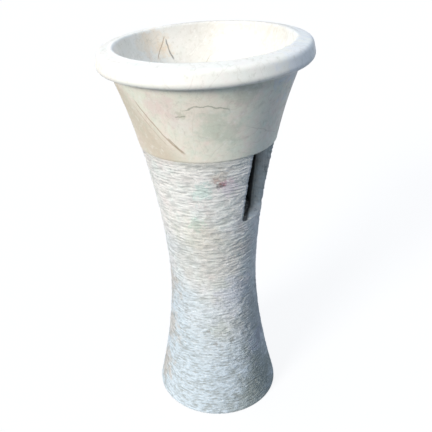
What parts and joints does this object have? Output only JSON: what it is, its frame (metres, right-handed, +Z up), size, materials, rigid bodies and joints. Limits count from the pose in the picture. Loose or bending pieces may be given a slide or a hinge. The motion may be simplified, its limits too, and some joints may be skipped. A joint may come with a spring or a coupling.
{
  "type": "stone pedestal planter",
  "caption": "Tall round stone planter: a polished bowl with a thick rim on a waisted, chiselled hollow shaft with a lamp niche and an inner drain.",
  "frame": {"origin": "centre of the foot, on the ground", "axes": "+Z up along the axis the planter is turned about; the lamp niche faces -Y"},
  "size_m": [0.45, 0.45, 0.9],
  "materials": {
    "chiselled_stone": "hand-chiselled in level rows, pale greenish grey",
    "polished_stone": "rubbed smooth, pale beige grey with brown veins",
    "sawn_stone": "sawn, dull grey",
    "dowel_steel": "ground stainless bar",
    "drain_brass": "satin, lightly tarnished",
    "seal_rubber": "matt black",
    "pipe_plastic": "plain grey waste pipe"
  },
  "bodies": {
    "pedestal": {"shaft": "chiselled_stone", "niche_shelf": "sawn_stone", "dowels": "dowel_steel"},
    "bowl_assembly": {"bowl": "polished_stone", "flange_gasket": "seal_rubber", "drain_body": "drain_brass", "nut_washer": "seal_rubber", "backnut": "drain_brass", "union_washer": "seal_rubber", "union_nut": "pipe_plastic", "drop_pipe": "pipe_plastic"},
    "strainer": {"drain_strainer": "drain_brass", "strainer_knob": "drain_brass"}
  },
  "joints": [
    {"name": "bowl_lift", "type": "slide", "parent": "pedestal", "child": "bowl_assembly", "axis": [0, 0, 1], "range_m": [0, 0.24]},
    {"name": "strainer_lift", "type": "slide", "parent": "bowl_assembly", "child": "strainer", "axis": [0, 0, 1], "range_m": [0, 0.16]}
  ]
}
